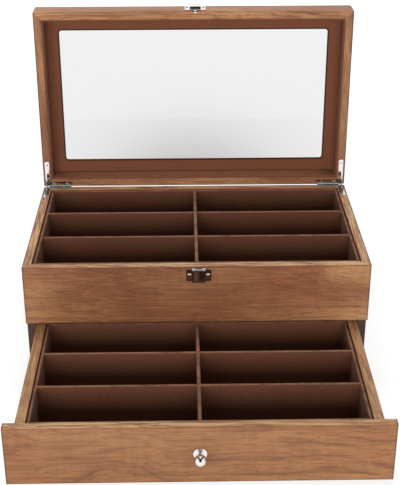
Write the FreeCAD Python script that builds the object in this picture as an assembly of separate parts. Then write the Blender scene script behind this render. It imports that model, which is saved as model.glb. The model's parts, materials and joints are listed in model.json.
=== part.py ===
"""Two-tier storage box for eyeglasses: a wooden case with a lined top tray under a
glazed lid on stop hinges, and a lined drawer below it that pulls out to the front.

Frame: X to the right, Y to the back, Z up. The origin is under the centre of the case, on
the underside of its base sheet. The box is modelled as photographed: lid open on its
stop, drawer pulled out. All sizes are in millimetres.
"""

import FreeCAD
import Part
import math
import os

# Case
width = 340.0
depth = 198.0
rim_height = 125.5
wall = 8.8
tray_panel_height = 62.2
case_bottom_thickness = 5.0
tray_floor_thickness = 4.0
groove_depth = 3.0
base_sheet_thickness = 1.0
base_sheet_inset = 1.5
edge_round = 1.0
outer_edge = 0.6
inner_edge = 0.4

# Facets of small fasteners and of the turned knob
fastener_sides = 12
knob_sides = 32
knob_bands = 12
knob_tip_flat = 0.5

# Drawer
drawer_front_thickness = 8.6
drawer_front_lift = 1.5
front_gap = 2.5
drawer_wall = 9.0
drawer_side_clearance = 1.5
drawer_run_clearance = 0.3
drawer_side_drop = 0.8
drawer_back_gap = 0.4
drawer_back_catch = 2.0
drawer_back_clearance = 1.0
drawer_stop_gap = 0.1
drawer_bottom_thickness = 3.0
drawer_bottom_lift = 2.7
brad_radius = 0.7
brad_length = 12.0
brad_spacing = 2.9
brad_from_back = 39.0

# Flocked inserts
insert_gap = 1.2
insert_floor_thickness = 1.2
insert_drop = 0.8
liner_thickness = 2.6
cross_divider_thickness = 3.0
center_divider_thickness = 3.3
divider_slot_clearance = 0.1
flock_edge = 0.5

# Lid
lid_rim_gap = 0.4
lid_height = 25.0
lid_rail = 8.5
lid_panel_thickness = 4.0
glass_thickness = 2.0
glass_lap = 5.0
glass_clearance = 0.3
bezel_width = 16.1
bezel_thickness = 1.4
window_corner = 3.0
outer_window_margin = 1.0
lid_liner_thickness = 2.1
lid_open_angle = 90.8

# Stop hinges
hinge_setback = 0.2
leaf_thickness = 1.0
leaf_edge = 2.2
leaf_side_width = 5.05
leaf_side_length = 29.5
leaf_rear_width = 5.1
leaf_rear_length = 29.8
leaf_corner = 0.9
leaf_pocket_clearance = 0.25
knuckle_radius = 1.7
knuckle_count = 3
knuckle_length = 8.3
knuckle_gap = 0.12
knuckle_inset = 3.3
knuckle_clearance = 0.25
pin_radius = 0.8
pin_clearance = 0.05
bore_overshoot = 1.0
pin_end = 0.4
stay_radius = 12.5
stay_width = 2.6
stay_thickness = 1.0
stay_rivet_radius = 1.1
stay_rivet_length = 2.6
stay_rivet_clearance = 0.1
stay_slot_width = 1.5
stay_slot_length = 6.0
stay_mortise_clearance = 0.3
leaf_screw_from_back = 25.6
rear_screws_from_side = (12.0, 26.3)
rear_screw_from_back = 3.3
leaf_screw_head_radius = 1.4
leaf_screw_shank_radius = 0.8
leaf_screw_length = 9.0

# Latch
latch_offset = 1.7
latch_plate_width = 24.4
latch_plate_height = 12.7
latch_plate_thickness = 0.8
latch_plate_drop = 2.7
latch_plate_corner = 1.5
latch_screw_spacing = 17.8
latch_screw_drop = 8.5
latch_screw_head_radius = 1.9
latch_screw_head_height = 1.0
latch_screw_flat_radius = 1.3
latch_screw_shank_radius = 1.0
latch_screw_length = 7.0
barrel_radius = 1.7
barrel_drop = 0.5
barrel_stand_off = 0.5
lever_width = 12.9
lever_overhang = 0.5
lever_thickness = 1.0
lever_flange = 0.8
lever_foot_stand_off = 1.2
lever_rib_radius = 0.6
lever_rib_sink = 0.1
lever_curl_height = 1.5
lever_curl_reach = 0.5
lever_foot_back = 0.2
flange_inset = 0.3
flange_foot_depth = 0.9
flange_top_drop = 0.6
flange_slope_drop = 2.6
latch_pin_radius = 0.7
lug_thickness = 0.9
lug_radius = 1.6
lug_offset = 3.85
latch_clearance = 0.1
latch_round_clearance = 0.3
spring_wire_radius = 0.3
spring_radius = 1.3
spring_turns = 3
spring_pitch = 1.4
spring_wire_sides = 6
nose_width = 2.7
nose_root = 1.2
nose_reach = 2.65
nose_top_drop = 2.1
nose_ramp_drop = 2.75
nose_tip_drop = 3.05
nose_foot_drop = 3.45
nose_foot_reach = 1.4
keeper_width = 22.6
keeper_length = 16.0
keeper_thickness = 1.0
keeper_from_rim = 4.0
keeper_screw_from_rim = 14.5
arch_width = 13.6
arch_length = 13.5
arch_height = 5.4
arch_wall = 0.8
arch_round = 2.0
arch_slope = 4.0
tongue_width = 5.0
tongue_thickness = 0.7
tongue_window_width = 3.1
tongue_window_top = 2.1
tongue_bar = 1.0
tongue_drop = 3.7
tongue_root = 1.0

# Knob
knob_rise = 1.1
knob_flange_radius = 6.1
knob_flange_thickness = 1.1
knob_boss_radius = 3.3
knob_boss_height = 1.0
knob_neck_radius = 2.1
knob_ball_radius = 5.3
knob_ball_from_face = 9.0
knob_screw_radius = 1.9
knob_screw_clearance = 0.1
knob_screw_reach = 7.0
knob_screw_head_radius = 3.6
knob_screw_head_height = 2.2
knob_counterbore_radius = 4.2
knob_counterbore_depth = 2.6

# Places worked out from the sizes above
half_width = width / 2
half_depth = depth / 2
panel_bottom = rim_height - tray_panel_height
case_base = base_sheet_thickness
case_floor_top = case_base + case_bottom_thickness
drawer_front_top = panel_bottom - front_gap
drawer_base = case_floor_top + drawer_run_clearance
drawer_side_top = drawer_front_top - drawer_side_drop
drawer_back_top = panel_bottom + drawer_back_catch
drawer_outer = half_width - wall - drawer_side_clearance
drawer_inner = drawer_outer - drawer_wall
drawer_length = depth - wall - drawer_back_gap
drawer_travel = drawer_length - drawer_wall - wall - drawer_stop_gap
drawer_bottom_base = drawer_base + drawer_bottom_lift
drawer_bottom_top = drawer_bottom_base + drawer_bottom_thickness
tray_floor_base = drawer_back_top + drawer_back_clearance
tray_floor_top = tray_floor_base + tray_floor_thickness
lid_rim = rim_height + lid_rim_gap
lid_top = lid_rim + lid_height
rail_top = lid_top - lid_panel_thickness
bezel_base = rail_top - bezel_thickness
window_x = half_width - lid_rail - bezel_width
window_y = half_depth - lid_rail - bezel_width
hinge_y = half_depth + hinge_setback
hinge_z = rim_height + lid_rim_gap / 2
leaf_center = half_width - leaf_edge - leaf_side_width / 2
latch_y = -half_depth - latch_plate_thickness - barrel_stand_off - barrel_radius
latch_z = rim_height - barrel_drop - barrel_radius
plate_top = rim_height - latch_plate_drop
plate_bottom = plate_top - latch_plate_height
knob_z = (drawer_front_lift + drawer_front_top) / 2 + knob_rise

X_AXIS = FreeCAD.Vector(1, 0, 0)
Y_AXIS = FreeCAD.Vector(0, 1, 0)
Z_AXIS = FreeCAD.Vector(0, 0, 1)
MIRROR_X = (FreeCAD.Vector(0, 0, 0), X_AXIS)


# Helpers
def box(x0, x1, y0, y1, z0, z1):
    """Box between two corners."""
    return Part.makeBox(x1 - x0, y1 - y0, z1 - z0, FreeCAD.Vector(x0, y0, z0))


def rod(radius, start, end):
    """Cylinder between two points."""
    start = FreeCAD.Vector(*start)
    run = FreeCAD.Vector(*end) - start
    return Part.makeCylinder(radius, run.Length, start, run)


def turned(profile, start, way, sides):
    """Many-sided turned solid: profile holds distances along its axis and radii."""
    start = FreeCAD.Vector(*start)
    side = way.cross(FreeCAD.Vector(1, 1, 1)).normalize()
    other = way.cross(side)
    rings = []
    for distance, radius in profile:
        corners = []
        for index in range(sides):
            angle = 2 * math.pi * index / sides
            spoke = side * math.cos(angle) + other * math.sin(angle)
            corners.append(start + way * distance + spoke * radius)
        rings.append(corners)
    outlines = [rings[0], rings[-1]]
    for ring, next_ring in zip(rings, rings[1:]):
        for index in range(sides):
            outlines.append([ring[index - 1], ring[index], next_ring[index], next_ring[index - 1]])
    faces = []
    for outline in outlines:
        faces.append(Part.Face(Part.makePolygon(outline + outline[:1])))
    solid = Part.Solid(Part.Shell(faces))
    if solid.Volume < 0:
        solid.reverse()
    return solid


def faceted(radii, start, end):
    """Many-sided rod or cone between two points, for small fasteners and their holes."""
    run = FreeCAD.Vector(*end) - FreeCAD.Vector(*start)
    profile = [(0, radii[0]), (run.Length, radii[1])]
    return turned(profile, start, run.normalize(), fastener_sides)


def prism(points, z0, z1):
    """Upright prism on an outline in the XY plane."""
    corners = [FreeCAD.Vector(x, y, z0) for x, y in points]
    face = Part.Face(Part.makePolygon(corners + corners[:1]))
    return face.extrude(FreeCAD.Vector(0, 0, z1 - z0))


def side_prism(points, x0, x1):
    """Prism along X on an outline in the YZ plane."""
    corners = [FreeCAD.Vector(x0, y, z) for y, z in points]
    face = Part.Face(Part.makePolygon(corners + corners[:1]))
    return face.extrude(FreeCAD.Vector(x1 - x0, 0, 0))


def straight_edges(shape, axis, chosen):
    """Edges parallel to an axis whose middle point passes a test."""
    found = []
    for edge in shape.Edges:
        if len(edge.Vertexes) != 2:
            continue
        run = edge.Vertexes[1].Point - edge.Vertexes[0].Point
        straight = abs(abs(run.dot(axis)) - edge.Length) < 1e-6
        if straight and chosen(edge.CenterOfMass):
            found.append(edge)
    return found


def rounded(shape, radius, axis, chosen=lambda point: True):
    """Shape with its chosen straight edges rounded."""
    return shape.makeFillet(radius, straight_edges(shape, axis, chosen))


def chamfered(shape, size, axis, chosen):
    """Shape with its chosen straight edges chamfered."""
    return shape.makeChamfer(size, straight_edges(shape, axis, chosen))


def level_edges(shape, level):
    """Edges that lie at one height."""
    return [e for e in shape.Edges if near(e.BoundBox.ZMin, level) and near(e.BoundBox.ZMax, level)]


def fused(shapes):
    """One solid from touching or overlapping shapes."""
    return shapes[0].multiFuse(shapes[1:]).removeSplitter()


def mirrored(shape):
    """The same piece for the other side of the box."""
    return shape.mirror(*MIRROR_X)


def near(value, target):
    """True where two lengths agree."""
    return abs(value - target) < 1e-4


def opened(shape):
    """A lid piece turned from closed to the lid's open stop."""
    raised = shape.copy()
    center = FreeCAD.Vector(0, hinge_y, hinge_z)
    raised.rotate(center, X_AXIS, -lid_open_angle)
    return raised


def at_latch(shape):
    """A piece of the latch moved from the middle of the box to its place beside it."""
    moved = shape.copy()
    moved.translate(FreeCAD.Vector(latch_offset, 0, 0))
    return moved


def pulled_out(shape):
    """A drawer piece moved from closed to the drawer's stop."""
    moved = shape.copy()
    moved.translate(FreeCAD.Vector(0, -drawer_travel, 0))
    return moved


# Frames of four mitred boards
def mitred_board(side, thickness, z0, z1):
    """One board of the box's outline, mitred at both ends."""
    a = half_width
    b = half_depth
    c = half_width - thickness
    d = half_depth - thickness
    outlines = {
        "left": [(-a, -b), (-a, b), (-c, d), (-c, -d)],
        "right": [(a, b), (a, -b), (c, -d), (c, d)],
        "front": [(a, -b), (-a, -b), (-c, -d), (c, -d)],
        "back": [(-a, b), (a, b), (c, d), (-c, d)],
    }
    return prism(outlines[side], z0, z1)


def outline_block(z0, z1, eased_levels):
    """Block of the box's outline with rounded upright edges, chamfered at the given heights."""
    block = box(-half_width, half_width, -half_depth, half_depth, z0, z1)
    block = rounded(block, edge_round, Z_AXIS)
    for level in eased_levels:
        block = block.makeChamfer(outer_edge, level_edges(block, level))
    return block


def eased_inside(board, side, thickness, level):
    """Board with the inner edge of its rim eased."""
    axis = Y_AXIS if side in ("left", "right") else X_AXIS
    reach = (half_width if axis is Y_AXIS else half_depth) - thickness

    def inner_rim(point):
        across = point.x if axis is Y_AXIS else point.y
        return near(abs(across), reach) and near(point.z, level)

    return chamfered(board, inner_edge, axis, inner_rim)


# Case
def make_tray_floor():
    """Board that carries the tray's insert, let into grooves in the four walls."""
    x = half_width - wall + groove_depth
    y = half_depth - wall + groove_depth
    return box(-x, x, -y, y, tray_floor_base, tray_floor_top)


def make_case_side(side):
    """Side wall: its lower part stops behind the drawer's front."""
    board = mitred_board(side, wall, case_base, rim_height)
    board = board.common(outline_block(case_base, rim_height, [rim_height]))
    board = eased_inside(board, side, wall, rim_height)
    behind_drawer_front = box(-width, width, -depth, -half_depth + wall, 0, panel_bottom)
    return board.cut([behind_drawer_front, make_tray_floor()])


def make_case_front_panel():
    """Front of the tray, above the drawer."""
    board = mitred_board("front", wall, panel_bottom, rim_height)
    board = board.common(outline_block(panel_bottom, rim_height, [panel_bottom, rim_height]))
    board = eased_inside(board, "front", wall, rim_height)
    return board.cut(make_tray_floor())


def make_case_back():
    """Full-height back wall."""
    board = mitred_board("back", wall, case_base, rim_height)
    board = board.common(outline_block(case_base, rim_height, [rim_height]))
    board = eased_inside(board, "back", wall, rim_height)
    return board.cut(make_tray_floor())


def make_case_bottom():
    """Board that the drawer runs on."""
    x = half_width - wall
    y = half_depth - wall
    return box(-x, x, -y, y, case_base, case_floor_top)


def make_base_sheet():
    """Flocked sheet under the case, which the box stands on."""
    x = half_width - base_sheet_inset
    front = -half_depth + wall + base_sheet_inset
    return box(-x, x, front, half_depth - base_sheet_inset, 0, base_sheet_thickness)


# Flocked inserts
def insert_bounds(half_x, y0, y1):
    """Inner faces of an insert's liners, from the walls that it drops between."""
    step = insert_gap + liner_thickness
    return half_x - step, y0 + step, y1 - step


def divider_rows(y0, y1):
    """Front and rear faces of the two cross dividers between the end liners."""
    row = (y1 - y0 - 2 * cross_divider_thickness) / 3
    first = y0 + row
    second = first + cross_divider_thickness + row
    return ((first, first + cross_divider_thickness), (second, second + cross_divider_thickness))


def flock_board(x0, x1, y0, y1, z0, z1, axis):
    """Flocked board with its two long top edges eased."""
    board = box(x0, x1, y0, y1, z0, z1)
    return chamfered(board, flock_edge, axis, lambda p: near(p.z, z1))


def make_insert(prefix, half_x, y0, y1, floor, top):
    """Lined insert of six compartments, as separate boards."""
    x_in, y_front, y_back = insert_bounds(half_x, y0, y1)
    x_out = x_in + liner_thickness
    base = floor + insert_floor_thickness
    middle = (base + top) / 2
    half_center = center_divider_thickness / 2
    slack = divider_slot_clearance / 2
    end_front = y_front - liner_thickness
    end_back = y_back + liner_thickness
    parts = {
        "insert_floor": box(-x_out, x_out, end_front, end_back, floor, base),
        "liner_left": flock_board(-x_out, -x_in, end_front, end_back, base, top, Y_AXIS),
        "liner_right": flock_board(x_in, x_out, end_front, end_back, base, top, Y_AXIS),
        "liner_front": flock_board(-x_in, x_in, end_front, y_front, base, top, X_AXIS),
        "liner_back": flock_board(-x_in, x_in, y_back, end_back, base, top, X_AXIS),
    }
    center = flock_board(-half_center, half_center, y_front, y_back, base, top, Y_AXIS)
    for name, (face_front, face_back) in zip(("front", "rear"), divider_rows(y_front, y_back)):
        cross = flock_board(-x_in, x_in, face_front, face_back, base, top, X_AXIS)
        slot = box(-half_center - slack, half_center + slack, face_front, face_back, base, middle)
        parts["divider_" + name] = cross.cut(slot)
        notch = box(-half_center, half_center, face_front - slack, face_back + slack, middle, top)
        center = center.cut(notch)
    parts["divider_center"] = center
    return {prefix + "_" + name: shape for name, shape in parts.items()}


def make_tray_insert():
    """Insert of the top tray."""
    y = half_depth - wall
    return make_insert("tray", half_width - wall, -y, y, tray_floor_top, rim_height - insert_drop)


# Lid, modelled closed
def frame_between(outer_x, outer_y, inner_x, inner_y, z0, z1, corner):
    """Flat frame with an opening that has rounded corners."""
    opening = rounded(box(-inner_x, inner_x, -inner_y, inner_y, z0, z1), corner, Z_AXIS)
    return box(-outer_x, outer_x, -outer_y, outer_y, z0, z1).cut(opening)


def make_glass():
    """Pane in the rabbet of the top panel."""
    x = window_x + glass_lap
    y = window_y + glass_lap
    pane = box(-x, x, -y, y, rail_top, rail_top + glass_thickness)
    return rounded(pane, window_corner, Z_AXIS)


def make_lid_panel():
    """Top panel with a rabbeted window."""
    block = outline_block(rail_top, lid_top, [lid_top])
    x = window_x + outer_window_margin
    y = window_y + outer_window_margin
    opening = rounded(box(-x, x, -y, y, rail_top, lid_top), window_corner, Z_AXIS)
    x = window_x + glass_lap + glass_clearance
    y = window_y + glass_lap + glass_clearance
    rabbet = rounded(box(-x, x, -y, y, rail_top, rail_top + glass_thickness), window_corner, Z_AXIS)
    panel = block.cut(opening)
    window_rim = []
    for edge in level_edges(panel, lid_top):
        if abs(edge.CenterOfMass.x) < x and abs(edge.CenterOfMass.y) < y:
            window_rim.append(edge)
    return panel.makeChamfer(inner_edge, window_rim).cut(rabbet)


def make_lid_rail(side):
    """One rail of the lid, mitred at its ends."""
    board = mitred_board(side, lid_rail, lid_rim, rail_top)
    board = board.common(outline_block(lid_rim, lid_top, [lid_rim]))
    return eased_inside(board, side, lid_rail, lid_rim)


def make_bezel():
    """Flocked card that frames the window and holds the pane in its rabbet."""
    x = half_width - lid_rail
    y = half_depth - lid_rail
    return frame_between(x, y, window_x, window_y, bezel_base, rail_top, window_corner)


def make_lid_liners():
    """Flocked boards on the inner faces of the rails."""
    x = half_width - lid_rail
    y = half_depth - lid_rail
    x_in = x - lid_liner_thickness
    y_in = y - lid_liner_thickness
    low = lid_rim + insert_drop
    boards = {
        "lid_liner_left": (box(-x, -x_in, -y, y, low, bezel_base), Y_AXIS, -x_in),
        "lid_liner_right": (box(x_in, x, -y, y, low, bezel_base), Y_AXIS, x_in),
        "lid_liner_front": (box(-x_in, x_in, -y, -y_in, low, bezel_base), X_AXIS, -y_in),
        "lid_liner_back": (box(-x_in, x_in, y_in, y, low, bezel_base), X_AXIS, y_in),
    }
    liners = {}
    for name, (board, axis, face) in boards.items():
        across = "x" if axis is Y_AXIS else "y"
        chosen = lambda p: near(p.z, low) and near(getattr(p, across), face)
        liners[name] = chamfered(board, flock_edge, axis, chosen)
    return liners


# Stop hinges, modelled on the right with the lid closed
def countersunk_screw(x, y, face, way):
    """Small screw whose head fills its leaf; way is +1 where the head faces up."""
    seat = face - way * leaf_thickness
    tip = face - way * leaf_screw_length
    shank = leaf_screw_shank_radius
    head = faceted((leaf_screw_head_radius, shank), (x, y, face), (x, y, seat))
    return fused([head, faceted((shank, shank), (x, y, seat), (x, y, tip))])


def leaf_screw_points():
    """Places of one right-hand leaf's screws."""
    points = [(leaf_center, half_depth - leaf_screw_from_back)]
    for offset in rear_screws_from_side:
        points.append((half_width - offset, half_depth - rear_screw_from_back))
    return points


def leaf_outline(z0, z1, clearance):
    """L-shaped plate of one right-hand leaf, grown by a clearance."""
    x_out = half_width - leaf_edge + clearance
    x_in = half_width - leaf_edge - leaf_side_width - clearance
    x_end = half_width - leaf_edge - leaf_rear_length - clearance
    y_front = half_depth - leaf_side_length - clearance
    y_step = half_depth - leaf_rear_width - clearance
    side_leg = box(x_in, x_out, y_front, half_depth, z0, z1)
    side_leg = chamfered(side_leg, leaf_corner, Z_AXIS, lambda p: near(p.y, y_front))
    rear_leg = box(x_end, x_out, y_step, half_depth, z0, z1)
    rear_leg = chamfered(rear_leg, leaf_corner, Z_AXIS, lambda p: near(p.x, x_end) and near(p.y, y_step))
    return fused([side_leg, rear_leg])


def knuckle_spans():
    """Start and end along X of each knuckle, from the outside of the box inwards."""
    spans = []
    start = half_width - leaf_edge - knuckle_inset
    for index in range(knuckle_count):
        outer = start - index * knuckle_length
        spans.append((outer - knuckle_length + knuckle_gap / 2, outer - knuckle_gap / 2))
    return spans


def stay_slot(z0, z1):
    """Slot in a leaf that its stay slides through."""
    y = hinge_y - stay_radius
    half = stay_slot_length / 2
    x0 = leaf_center - stay_slot_width / 2
    return box(x0, x0 + stay_slot_width, y - half, y + half, z0, z1)


def make_leaf(z0, z1, own, way):
    """One right-hand leaf; own holds the numbers of its knuckles."""
    leaf = leaf_outline(z0, z1, 0)
    knuckles = []
    for index, (start, end) in enumerate(knuckle_spans()):
        if index in own:
            knuckles.append(rod(knuckle_radius, (start, hinge_y, hinge_z), (end, hinge_y, hinge_z)))
            knuckles.append(box(start, end, half_depth - leaf_thickness, hinge_y, z0, z1))
        else:
            free = knuckle_radius + knuckle_clearance
            start = start - knuckle_gap
            end = end + knuckle_gap
            leaf = leaf.cut(rod(free, (start, hinge_y, hinge_z), (end, hinge_y, hinge_z)))
    leaf = fused([leaf] + knuckles)
    bore = pin_radius + pin_clearance
    spans = knuckle_spans()
    start = spans[-1][0] - bore_overshoot
    end = spans[0][1] + bore_overshoot
    leaf = leaf.cut(rod(bore, (start, hinge_y, hinge_z), (end, hinge_y, hinge_z)))
    leaf = leaf.cut(stay_slot(z0, z1))
    face = z1 if way > 0 else z0
    for x, y in leaf_screw_points():
        leaf = leaf.cut(countersunk_screw(x, y, face, way))
    return leaf


def make_hinge_pin():
    """Pin through the knuckles."""
    spans = knuckle_spans()
    start = spans[-1][0] - pin_end
    end = spans[0][1] + pin_end
    return rod(pin_radius, (start, hinge_y, hinge_z), (end, hinge_y, hinge_z))


def stay_rivet_angle():
    """Angle past a leaf at which a stay's rivet meets the leaf's hidden face."""
    drop = lid_rim_gap / 2 + leaf_thickness + stay_rivet_radius + stay_rivet_clearance
    return math.degrees(math.asin(drop / stay_radius))


def stay_point(radius, angle, x):
    """Point on the stay's arc; angle 0 is level and to the front, 90 is up."""
    turn = math.radians(angle)
    return FreeCAD.Vector(x, hinge_y - radius * math.cos(turn), hinge_z + radius * math.sin(turn))


def make_stay():
    """Curved arm about the hinge axis, with a cross rivet at each end as its stop."""
    past = stay_rivet_angle()
    low = -past
    high = lid_open_angle + past
    middle = (low + high) / 2
    x = leaf_center - stay_thickness / 2
    inner = stay_radius - stay_width / 2
    outer = stay_radius + stay_width / 2
    overshoot = math.degrees(stay_width / 2 / stay_radius)
    corners = [
        ((inner, low), (inner, middle), (inner, high)),
        ((inner, high), (stay_radius, high + overshoot), (outer, high)),
        ((outer, high), (outer, middle), (outer, low)),
        ((outer, low), (stay_radius, low - overshoot), (inner, low)),
    ]
    arcs = []
    for points in corners:
        arcs.append(Part.Arc(*[stay_point(radius, angle, x) for radius, angle in points]).toShape())
    outline = Part.Face(Part.Wire(arcs))
    arm = outline.extrude(FreeCAD.Vector(stay_thickness, 0, 0))
    rivets = []
    for angle in (low, high):
        start = stay_point(stay_radius, angle, leaf_center - stay_rivet_length / 2)
        end = stay_point(stay_radius, angle, leaf_center + stay_rivet_length / 2)
        rivets.append(faceted((stay_rivet_radius, stay_rivet_radius), start, end))
    return fused([arm] + rivets)


def stay_mortise(way):
    """Pocket for half of the stay when the lid is shut, below or above the hinge axis."""
    reach = stay_radius + stay_width / 2 + stay_mortise_clearance
    swing = lid_open_angle / 2 + stay_rivet_angle()
    swing += math.degrees(stay_width / 2 / stay_radius)
    inner = stay_radius - stay_width / 2 - stay_mortise_clearance
    y_front = hinge_y - reach
    y_back = hinge_y - inner * math.cos(math.radians(swing)) + stay_mortise_clearance
    deep = reach * math.sin(math.radians(swing)) + stay_mortise_clearance
    half = stay_rivet_length / 2 + stay_mortise_clearance
    z0 = hinge_z if way > 0 else hinge_z - deep
    z1 = hinge_z + deep if way > 0 else hinge_z
    return box(leaf_center - half, leaf_center + half, y_front, y_back, z0, z1)


def hinge_cuts(way):
    """What one half of a right-hand hinge takes out of the wood."""
    face = rim_height if way > 0 else lid_rim
    low = face - leaf_thickness if way > 0 else face
    high = face if way > 0 else face + leaf_thickness
    spans = knuckle_spans()
    free = knuckle_radius + knuckle_clearance
    start = (spans[-1][0] - leaf_pocket_clearance - pin_end, hinge_y, hinge_z)
    end = (spans[0][1] + leaf_pocket_clearance + pin_end, hinge_y, hinge_z)
    cuts = [leaf_outline(low, high, leaf_pocket_clearance), rod(free, start, end), stay_mortise(-way)]
    cuts += [countersunk_screw(x, y, face, way) for x, y in leaf_screw_points()]
    return cuts


def fitted_with_hinges(board, way):
    """Board with the pockets of both hinges cut into it."""
    cuts = hinge_cuts(way)
    return board.cut(cuts + [mirrored(cut) for cut in cuts])


def make_hinge_screws(way):
    """The six screws of the case leaves, or of the lid leaves, as separate solids."""
    face = rim_height if way > 0 else lid_rim
    screws = [countersunk_screw(x, y, face, way) for x, y in leaf_screw_points()]
    return Part.makeCompound(screws + [mirrored(screw) for screw in screws])


# Latch
def pan_screw(x, z, plate):
    """Wood screw with a bevelled round head on a plate of the given thickness."""
    face = -half_depth - plate
    top = face - latch_screw_head_height
    rim = (face + top) / 2
    head = latch_screw_head_radius
    shank = latch_screw_shank_radius
    pieces = [
        faceted((head, head), (x, face, z), (x, rim, z)),
        faceted((head, latch_screw_flat_radius), (x, rim, z), (x, top, z)),
        faceted((shank, shank), (x, face, z), (x, face + latch_screw_length, z)),
    ]
    return fused(pieces)


def latch_screw_places():
    """Places of the latch plate's two screws."""
    z = rim_height - latch_screw_drop
    return [(-latch_screw_spacing / 2, z), (latch_screw_spacing / 2, z)]


def keeper_screw_places():
    """Places of the keeper's two screws."""
    z = lid_rim + keeper_screw_from_rim
    return [(-latch_screw_spacing / 2, z), (latch_screw_spacing / 2, z)]


def screw_pair(places, plate):
    """Two screws as separate solids."""
    return Part.makeCompound([pan_screw(x, z, plate) for x, z in places])


def screw_holes(places, plate):
    """Cylinders for the shanks of two screws."""
    shank = latch_screw_shank_radius
    start = -half_depth - plate
    end = start + latch_screw_length
    return [faceted((shank, shank), (x, start, z), (x, end, z)) for x, z in places]


def make_latch_base():
    """Screwed plate with two lugs for the lever's pin and a notch for the keeper's tongue."""
    back = -half_depth
    front = back - latch_plate_thickness
    half = latch_plate_width / 2
    plate = box(-half, half, front, back, plate_bottom, plate_top)
    plate = rounded(plate, latch_plate_corner, Y_AXIS)
    notch_half = tongue_width / 2 + latch_round_clearance
    notch_low = tongue_tip() - latch_round_clearance
    plate = plate.cut(box(-notch_half, notch_half, front, back, notch_low, plate_top))
    lugs = []
    for center in (-lug_offset, lug_offset):
        start = center - lug_thickness / 2
        end = center + lug_thickness / 2
        lugs.append(rod(lug_radius, (start, latch_y, latch_z), (end, latch_y, latch_z)))
        web_top = min(plate_top, latch_z + lug_radius)
        lugs.append(box(start, end, latch_y, back, latch_z - lug_radius, web_top))
    base = fused([plate] + lugs)
    base = base.cut(latch_bore())
    return base.cut(screw_holes(latch_screw_places(), latch_plate_thickness))


def latch_bore():
    """Bore of the lever's pin."""
    reach = lever_width / 2 + bore_overshoot
    return rod(latch_pin_radius + pin_clearance, (-reach, latch_y, latch_z), (reach, latch_y, latch_z))


def tongue_bar_top():
    """Height of the top of the bar that closes the tongue's window, with the lid shut."""
    return latch_z - tongue_drop


def tongue_tip():
    """Height of the tongue's tip with the lid shut."""
    return tongue_bar_top() - tongue_bar


def make_latch_lever():
    """Lever that hangs from its pin: rolled barrel, channel-shaped flap and snap nose."""
    half = lever_width / 2
    foot = plate_bottom - lever_overhang
    foot_y = -half_depth - latch_plate_thickness - lever_foot_stand_off
    front = latch_y - barrel_radius
    foot_front = foot_y - lever_thickness
    curl = foot + lever_curl_height
    flange_back = latch_y + barrel_radius - flange_inset / 2
    web = [
        (front, latch_z),
        (foot_front, curl),
        (foot_front - lever_curl_reach, foot),
        (foot_y + lever_foot_back, foot),
        (front + lever_thickness, latch_z - barrel_radius),
        (front + lever_thickness, latch_z),
    ]
    channel = [
        (front + flange_inset, latch_z - barrel_radius / 2),
        (foot_front + flange_inset, curl),
        (foot_y + flange_foot_depth, curl),
        (flange_back, latch_z - flange_slope_drop),
        (flange_back, latch_z - flange_top_drop),
    ]
    rib_top = (0, front + lever_rib_sink, latch_z - flange_slope_drop)
    rib_foot = (0, foot_front + lever_rib_sink, curl + lever_rib_radius)
    pieces = [side_prism(web, -half, half), rod(lever_rib_radius, rib_top, rib_foot), make_nose()]
    for start, end in ((-half, -half + lever_flange), (half - lever_flange, half)):
        pieces.append(side_prism(channel, start, end))
    barrel_end = lug_offset + lug_thickness / 2 + latch_clearance
    for start, end in ((-half, -barrel_end), (barrel_end, half)):
        pieces.append(rod(barrel_radius, (start, latch_y, latch_z), (end, latch_y, latch_z)))
    ring = barrel_radius + latch_round_clearance
    middle = rod(ring, (-barrel_end, latch_y, latch_z), (barrel_end, latch_y, latch_z))
    return fused(pieces).cut([middle, latch_bore()])


def make_nose():
    """Sloped nose behind the flap that snaps into the tongue's window."""
    half = nose_width / 2
    outline = [
        (latch_y - nose_root, latch_z - nose_top_drop),
        (latch_y + nose_root, latch_z - nose_top_drop),
        (latch_y + nose_reach, latch_z - nose_ramp_drop),
        (latch_y + nose_reach, latch_z - nose_tip_drop),
        (latch_y + nose_foot_reach, latch_z - nose_foot_drop),
        (latch_y - nose_root, latch_z - nose_foot_drop),
    ]
    return side_prism(outline, -half, half)


def biarc(start, start_way, end, end_way):
    """Two arcs that leave start and reach end along the given unit directions."""
    chord = end - start
    both = start_way + end_way
    a = 2 - 2 * start_way.dot(end_way)
    b = 2 * chord.dot(both)
    reach = (math.sqrt(b * b + 4 * a * chord.dot(chord)) - b) / (2 * a)
    first = start + start_way * reach
    last = end - end_way * reach
    joint = (first + last) * 0.5
    middle_way = (last - first).normalize()
    arcs = []
    for point, way, goal in ((start, start_way, joint), (joint, middle_way, end)):
        run = goal - point
        normal = run - way * run.dot(way)
        radius = run.dot(run) / (2 * normal.Length)
        center = point + normal.normalize() * radius
        bulge = (point + goal) * 0.5 - center
        arcs.append(Part.Arc(point, center + bulge.normalize() * radius, goal).toShape())
    return arcs


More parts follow.
